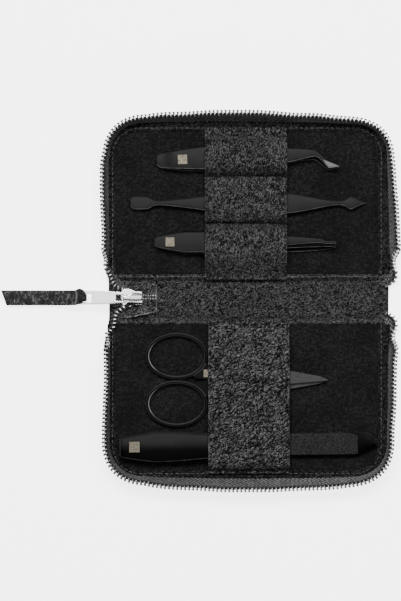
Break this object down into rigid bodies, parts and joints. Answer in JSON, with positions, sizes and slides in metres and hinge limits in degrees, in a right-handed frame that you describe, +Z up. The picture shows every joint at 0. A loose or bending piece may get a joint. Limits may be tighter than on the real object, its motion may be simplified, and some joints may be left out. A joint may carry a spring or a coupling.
{
  "type": "manicure set case",
  "caption": "Leather case zipped all round, lying open, with slim manicure tools held flat under leather bands in each half.",
  "frame": {"origin": "middle of the underside of the spine, on the surface that the open case rests on", "axes": "+X along the spine away from the zip pull, +Y across the upper half, +Z up from the surface"},
  "size_m": [0.1974, 0.1906, 0.011],
  "materials": {
    "smooth_leather": "fine grain, satin",
    "pebbled_leather": "pebbled grain, satin highlights",
    "stiffener": "plain pressed board, hidden",
    "suede": "napped suede, dull",
    "zip_tape": "herringbone woven tape",
    "zip_nickel": "dull nickel",
    "polished_nickel": "polished nickel",
    "black_steel": "matte black coating",
    "file_steel": "rough black abrasive, smooth at the tip",
    "black_plastic": "satin black",
    "champagne_badge": "plain brushed plate"
  },
  "bodies": {
    "lower_half": {"lower_cover_leather": "smooth_leather", "lower_stiffener_board": "stiffener", "lower_suede_lining": "suede", "lower_edge_binding": "smooth_leather", "lower_zip_tape": "zip_tape", "lower_zip_teeth": "zip_nickel", "lower_tool_band": "pebbled_leather"},
    "spine": {"spine_leather": "smooth_leather", "spine_lining": "smooth_leather", "zip_end_tab": "smooth_leather", "upper_row_end": "zip_nickel", "lower_row_end": "zip_nickel"},
    "upper_half": {"upper_cover_leather": "smooth_leather", "upper_stiffener_board": "stiffener", "upper_suede_lining": "suede", "upper_edge_binding": "smooth_leather", "upper_zip_tape": "zip_tape", "upper_zip_teeth": "zip_nickel", "upper_tool_band": "pebbled_leather"},
    "zip_slider": {"slider_body": "polished_nickel", "slider_bridge": "polished_nickel"},
    "zip_pull": {"metal_pull": "polished_nickel"},
    "strap": {"pull_strap": "pebbled_leather"},
    "tweezers": {"tweezers_lower_arm": "black_steel"},
    "tweezers_arm": {"tweezers_upper_arm": "black_steel", "tweezers_badge": "champagne_badge"},
    "cleaner": {"nail_cleaner": "black_steel"},
    "clipper": {"clipper_lower_leaf": "black_steel", "clipper_pin": "black_steel"},
    "clipper_leaf": {"clipper_upper_leaf": "black_steel"},
    "lever": {"clipper_lever": "black_steel", "clipper_badge": "champagne_badge"},
    "scissors": {"scissors_upper_blade": "black_steel", "pivot_screw": "black_steel"},
    "scissors_blade": {"scissors_lower_blade": "black_steel", "scissors_badge": "champagne_badge"},
    "file": {"file_handle": "black_plastic", "file_blade": "file_steel", "file_badge": "champagne_badge"}
  },
  "joints": [
    {"name": "spine_fold", "type": "hinge", "parent": "lower_half", "child": "spine", "pos_m": [0, -0.01, 0.0012], "axis": [1, 0, 0], "range_deg": [0, 90]},
    {"name": "upper_fold", "type": "hinge", "parent": "spine", "child": "upper_half", "pos_m": [0, 0.01, 0.0012], "axis": [1, 0, 0], "range_deg": [0, 90]},
    {"name": "slider_run", "type": "slide", "parent": "spine", "child": "zip_slider", "axis": [1, 0, 0], "range_m": [-0.003, 0]},
    {"name": "pull_swing", "type": "hinge", "parent": "zip_slider", "child": "zip_pull", "pos_m": [-0.0616, 0.0007, 0.0087], "axis": [0, -1, 0], "range_deg": [-140, 0]},
    {"name": "strap_swing", "type": "hinge", "parent": "zip_pull", "child": "strap", "pos_m": [-0.08479, 0.0007, 0.00461], "axis": [0, 1, 0], "range_deg": [0, 90]},
    {"name": "tweezers_draw", "type": "slide", "parent": "upper_half", "child": "tweezers", "axis": [1, 0, 0], "range_m": [-0.021, 0]},
    {"name": "tweezers_squeeze", "type": "hinge", "parent": "tweezers", "child": "tweezers_arm", "pos_m": [-0.04385, 0.06939, 0.00495], "axis": [-0.0436, 0.999, 0], "range_deg": [0, 1], "stiffness_Nm_per_rad": 2, "springref_deg": -0.57},
    {"name": "cleaner_draw", "type": "slide", "parent": "upper_half", "child": "cleaner", "axis": [1, 0, 0], "range_m": [-0.008, 0]},
    {"name": "clipper_draw", "type": "slide", "parent": "upper_half", "child": "clipper", "axis": [1, 0, 0], "range_m": [-0.02, 0]},
    {"name": "leaf_press", "type": "hinge", "parent": "clipper", "child": "clipper_leaf", "pos_m": [-0.0449, 0.02869, 0.00465], "axis": [0.0052, 1, 0], "range_deg": [0, 1], "stiffness_Nm_per_rad": 2, "springref_deg": -0.57},
    {"name": "lever_press", "type": "hinge", "parent": "clipper_leaf", "child": "lever", "pos_m": [0.0376, 0.02826, 0.0082], "axis": [-0.0052, -1, 0], "range_deg": [0, 0.4]},
    {"name": "scissors_draw", "type": "slide", "parent": "lower_half", "child": "scissors", "axis": [1, 0, 0], "range_m": [-0.015, 0]},
    {"name": "scissors_open", "type": "hinge", "parent": "scissors", "child": "scissors_blade", "pos_m": [0.00975, -0.0403, 0.005], "axis": [0, 0, 1], "range_deg": [-10, 0]},
    {"name": "file_draw", "type": "slide", "parent": "lower_half", "child": "file", "axis": [1, 0, 0], "range_m": [-0.003, 0]}
  ],
  "couplings": [
    {"joint": "lever_press", "follows": "leaf_press", "ratio": 0.4}
  ]
}
